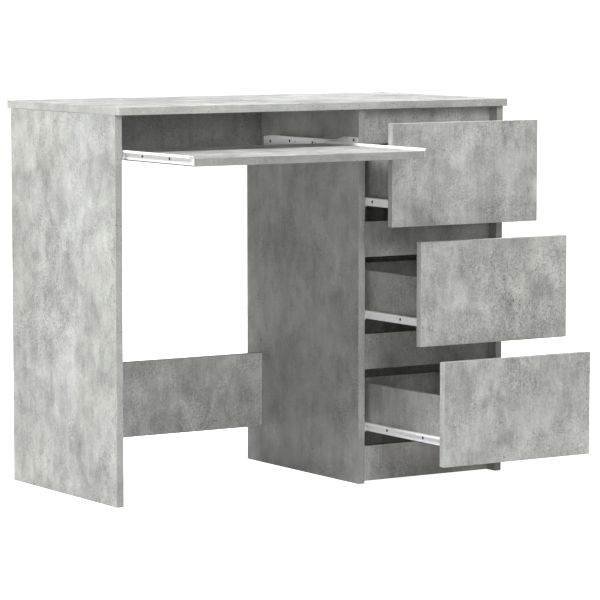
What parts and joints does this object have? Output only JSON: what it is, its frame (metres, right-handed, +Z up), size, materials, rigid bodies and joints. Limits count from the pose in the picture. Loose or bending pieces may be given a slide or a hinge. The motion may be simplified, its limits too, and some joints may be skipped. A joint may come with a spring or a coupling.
{
  "type": "writing desk with drawers",
  "caption": "Writing desk with a knee space, a pull-out keyboard tray and a drawer pedestal on roller runners, in concrete-effect board.",
  "frame": {"origin": "floor level, in the middle of the box that the desk fills with its tray and drawers part open", "axes": "+X along the desktop towards the drawer pedestal, +Y from the front to the rear, +Z up"},
  "size_m": [0.9, 0.73, 0.76],
  "materials": {
    "concrete_laminate": "concrete-effect melamine on chipboard, matt, with edge banding to match",
    "drawer_bottom_board": "thin grey-faced hardboard",
    "white_painted_steel": "white epoxy powder coat on rolled steel",
    "white_nylon": "moulded nylon",
    "zinc": "zinc plated",
    "beech": "fluted beech, raw"
  },
  "bodies": {
    "carcass": {"desktop": "concrete_laminate", "left_side_panel": "concrete_laminate", "middle_panel": "concrete_laminate", "right_side_panel": "concrete_laminate", "upper_back_panel": "concrete_laminate", "lower_back_stretcher": "concrete_laminate", "pedestal_back_panel": "concrete_laminate", "plinth_rail": "concrete_laminate", "lower_mid_rail": "concrete_laminate", "upper_mid_rail": "concrete_laminate", "top_front_rail": "concrete_laminate", "tray_channel_left": "white_painted_steel", "tray_channel_right": "white_painted_steel", "drawer_1_channel_left": "white_painted_steel", "drawer_1_channel_right": "white_painted_steel", "drawer_2_channel_left": "white_painted_steel", "drawer_2_channel_right": "white_painted_steel", "drawer_3_channel_left": "white_painted_steel", "drawer_3_channel_right": "white_painted_steel", "cam_locks": "zinc", "cam_bolts": "zinc", "wooden_dowels": "beech", "channel_screws": "zinc", "front_roller_pins": "zinc"},
    "tray": {"keyboard_tray": "concrete_laminate", "tray_runner_left": "white_painted_steel", "tray_runner_right": "white_painted_steel", "tray_fixings": "zinc"},
    "drawer_1": {"drawer_1_front": "concrete_laminate", "drawer_1_left_side": "concrete_laminate", "drawer_1_right_side": "concrete_laminate", "drawer_1_back": "concrete_laminate", "drawer_1_bottom": "drawer_bottom_board", "drawer_1_runner_left": "white_painted_steel", "drawer_1_runner_right": "white_painted_steel", "drawer_1_fixings": "zinc"},
    "drawer_2": {"drawer_2_front": "concrete_laminate", "drawer_2_left_side": "concrete_laminate", "drawer_2_right_side": "concrete_laminate", "drawer_2_back": "concrete_laminate", "drawer_2_bottom": "drawer_bottom_board", "drawer_2_runner_left": "white_painted_steel", "drawer_2_runner_right": "white_painted_steel", "drawer_2_fixings": "zinc"},
    "drawer_3": {"drawer_3_front": "concrete_laminate", "drawer_3_left_side": "concrete_laminate", "drawer_3_right_side": "concrete_laminate", "drawer_3_back": "concrete_laminate", "drawer_3_bottom": "drawer_bottom_board", "drawer_3_runner_left": "white_painted_steel", "drawer_3_runner_right": "white_painted_steel", "drawer_3_fixings": "zinc"},
    "tray_front_rollers": {"tray_front_rollers": "white_nylon"},
    "tray_rear_rollers": {"tray_rear_rollers": "white_nylon"},
    "drawer_1_front_rollers": {"drawer_1_front_rollers": "white_nylon"},
    "drawer_1_rear_rollers": {"drawer_1_rear_rollers": "white_nylon"},
    "drawer_2_front_rollers": {"drawer_2_front_rollers": "white_nylon"},
    "drawer_2_rear_rollers": {"drawer_2_rear_rollers": "white_nylon"},
    "drawer_3_front_rollers": {"drawer_3_front_rollers": "white_nylon"},
    "drawer_3_rear_rollers": {"drawer_3_rear_rollers": "white_nylon"}
  },
  "joints": [
    {"name": "tray_slide", "type": "slide", "parent": "carcass", "child": "tray", "axis": [0, -1, 0], "range_m": [-0.247, 0.043]},
    {"name": "drawer_1_slide", "type": "slide", "parent": "carcass", "child": "drawer_1", "axis": [0, -1, 0], "range_m": [-0.1015, 0.1885]},
    {"name": "drawer_2_slide", "type": "slide", "parent": "carcass", "child": "drawer_2", "axis": [0, -1, 0], "range_m": [-0.2005, 0.0895]},
    {"name": "drawer_3_slide", "type": "slide", "parent": "carcass", "child": "drawer_3", "axis": [0, -1, 0], "range_m": [-0.2795, 0.0105]},
    {"name": "tray_front_roll", "type": "hinge", "parent": "carcass", "child": "tray_front_rollers", "pos_m": [-0.1675, -0.055, 0.6681], "axis": [1, 0, 0], "continuous": true},
    {"name": "tray_rear_roll", "type": "hinge", "parent": "tray", "child": "tray_rear_rollers", "pos_m": [-0.1675, 0.023, 0.6715], "axis": [1, 0, 0], "continuous": true},
    {"name": "drawer_1_front_roll", "type": "hinge", "parent": "carcass", "child": "drawer_1_front_rollers", "pos_m": [0.275, -0.055, 0.55997], "axis": [1, 0, 0], "continuous": true},
    {"name": "drawer_1_rear_roll", "type": "hinge", "parent": "drawer_1", "child": "drawer_1_rear_rollers", "pos_m": [0.275, 0.166, 0.56337], "axis": [1, 0, 0], "continuous": true},
    {"name": "drawer_2_front_roll", "type": "hinge", "parent": "carcass", "child": "drawer_2_front_rollers", "pos_m": [0.275, -0.055, 0.33563], "axis": [1, 0, 0], "continuous": true},
    {"name": "drawer_2_rear_roll", "type": "hinge", "parent": "drawer_2", "child": "drawer_2_rear_rollers", "pos_m": [0.275, 0.067, 0.33903], "axis": [1, 0, 0], "continuous": true},
    {"name": "drawer_3_front_roll", "type": "hinge", "parent": "carcass", "child": "drawer_3_front_rollers", "pos_m": [0.275, -0.055, 0.1113], "axis": [1, 0, 0], "continuous": true},
    {"name": "drawer_3_rear_roll", "type": "hinge", "parent": "drawer_3", "child": "drawer_3_rear_rollers", "pos_m": [0.275, -0.012, 0.1147], "axis": [1, 0, 0], "continuous": true}
  ],
  "couplings": [
    {"joint": "tray_front_roll", "follows": "tray_slide", "rad_per_m": 111.11},
    {"joint": "tray_rear_roll", "follows": "tray_slide", "rad_per_m": 111.11},
    {"joint": "drawer_1_front_roll", "follows": "drawer_1_slide", "rad_per_m": 111.11},
    {"joint": "drawer_1_rear_roll", "follows": "drawer_1_slide", "rad_per_m": 111.11},
    {"joint": "drawer_2_front_roll", "follows": "drawer_2_slide", "rad_per_m": 111.11},
    {"joint": "drawer_2_rear_roll", "follows": "drawer_2_slide", "rad_per_m": 111.11},
    {"joint": "drawer_3_front_roll", "follows": "drawer_3_slide", "rad_per_m": 111.11},
    {"joint": "drawer_3_rear_roll", "follows": "drawer_3_slide", "rad_per_m": 111.11}
  ]
}
